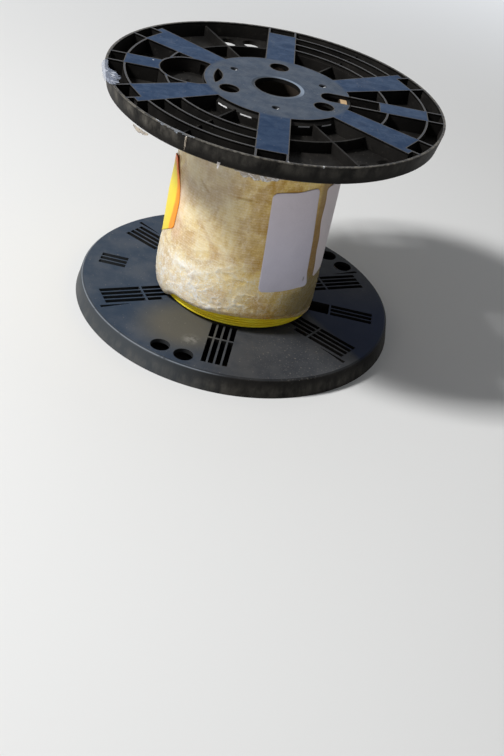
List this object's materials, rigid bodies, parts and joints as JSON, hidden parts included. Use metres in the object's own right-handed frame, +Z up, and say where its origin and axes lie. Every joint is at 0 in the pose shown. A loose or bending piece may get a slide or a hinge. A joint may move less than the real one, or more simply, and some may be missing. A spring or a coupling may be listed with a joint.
{
  "type": "cable reel",
  "caption": "Reel of thin yellow cable on ribbed black moulded flanges and a fibre tube, wrapped in bubble film, with blank labels.",
  "frame": {"origin": "on the reel's axis, at the level of the surface that it stands on", "axes": "+Z up along the reel's axis, +X along the cable slot of the top flange, -Y towards the front as pictured"},
  "size_m": [0.3048, 0.3048, 0.2286],
  "materials": {
    "flange_plastic": "black moulded plastic, scuffed and dusty",
    "fibre_board": "brown wound fibre board",
    "cable_jacket": "smooth yellow jacket",
    "clear_film": "clear bubble film, wrinkled",
    "label_paper": "white label paper, creased",
    "sticker_paper": "fluorescent yellow paper with an orange edge"
  },
  "bodies": {
    "root": {"top_flange": "flange_plastic", "bottom_flange": "flange_plastic", "core_tube": "fibre_board", "cable_winding": "cable_jacket", "bubble_wrap": "clear_film", "front_label": "label_paper", "side_label": "label_paper", "lot_sticker": "sticker_paper"}
  },
  "joints": []
}
